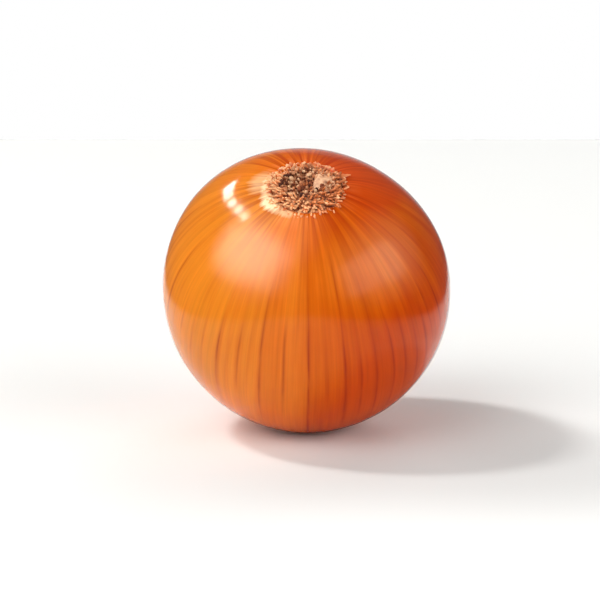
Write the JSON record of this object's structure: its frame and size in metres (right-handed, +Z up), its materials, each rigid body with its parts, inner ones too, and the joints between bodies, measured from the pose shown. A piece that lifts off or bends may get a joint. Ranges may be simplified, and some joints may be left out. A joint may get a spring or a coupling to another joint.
{
  "type": "onion",
  "caption": "Whole globe onion in dry papery skin, lying root end up on a small flat spot, with a corky root plate and a short trimmed neck.",
  "frame": {"origin": "middle of the small flat spot that the bulb rests on", "axes": "+Z up from the surface; the bulb's root end points up and leans 33 degrees towards -Y, its neck points down towards +Y"},
  "size_m": [0.0799, 0.0796, 0.0787],
  "materials": {
    "onion_skin": "gloss",
    "root_cork": "matte"
  },
  "bodies": {
    "root": {"bulb": "onion_skin", "root_plate": "root_cork"}
  },
  "joints": []
}
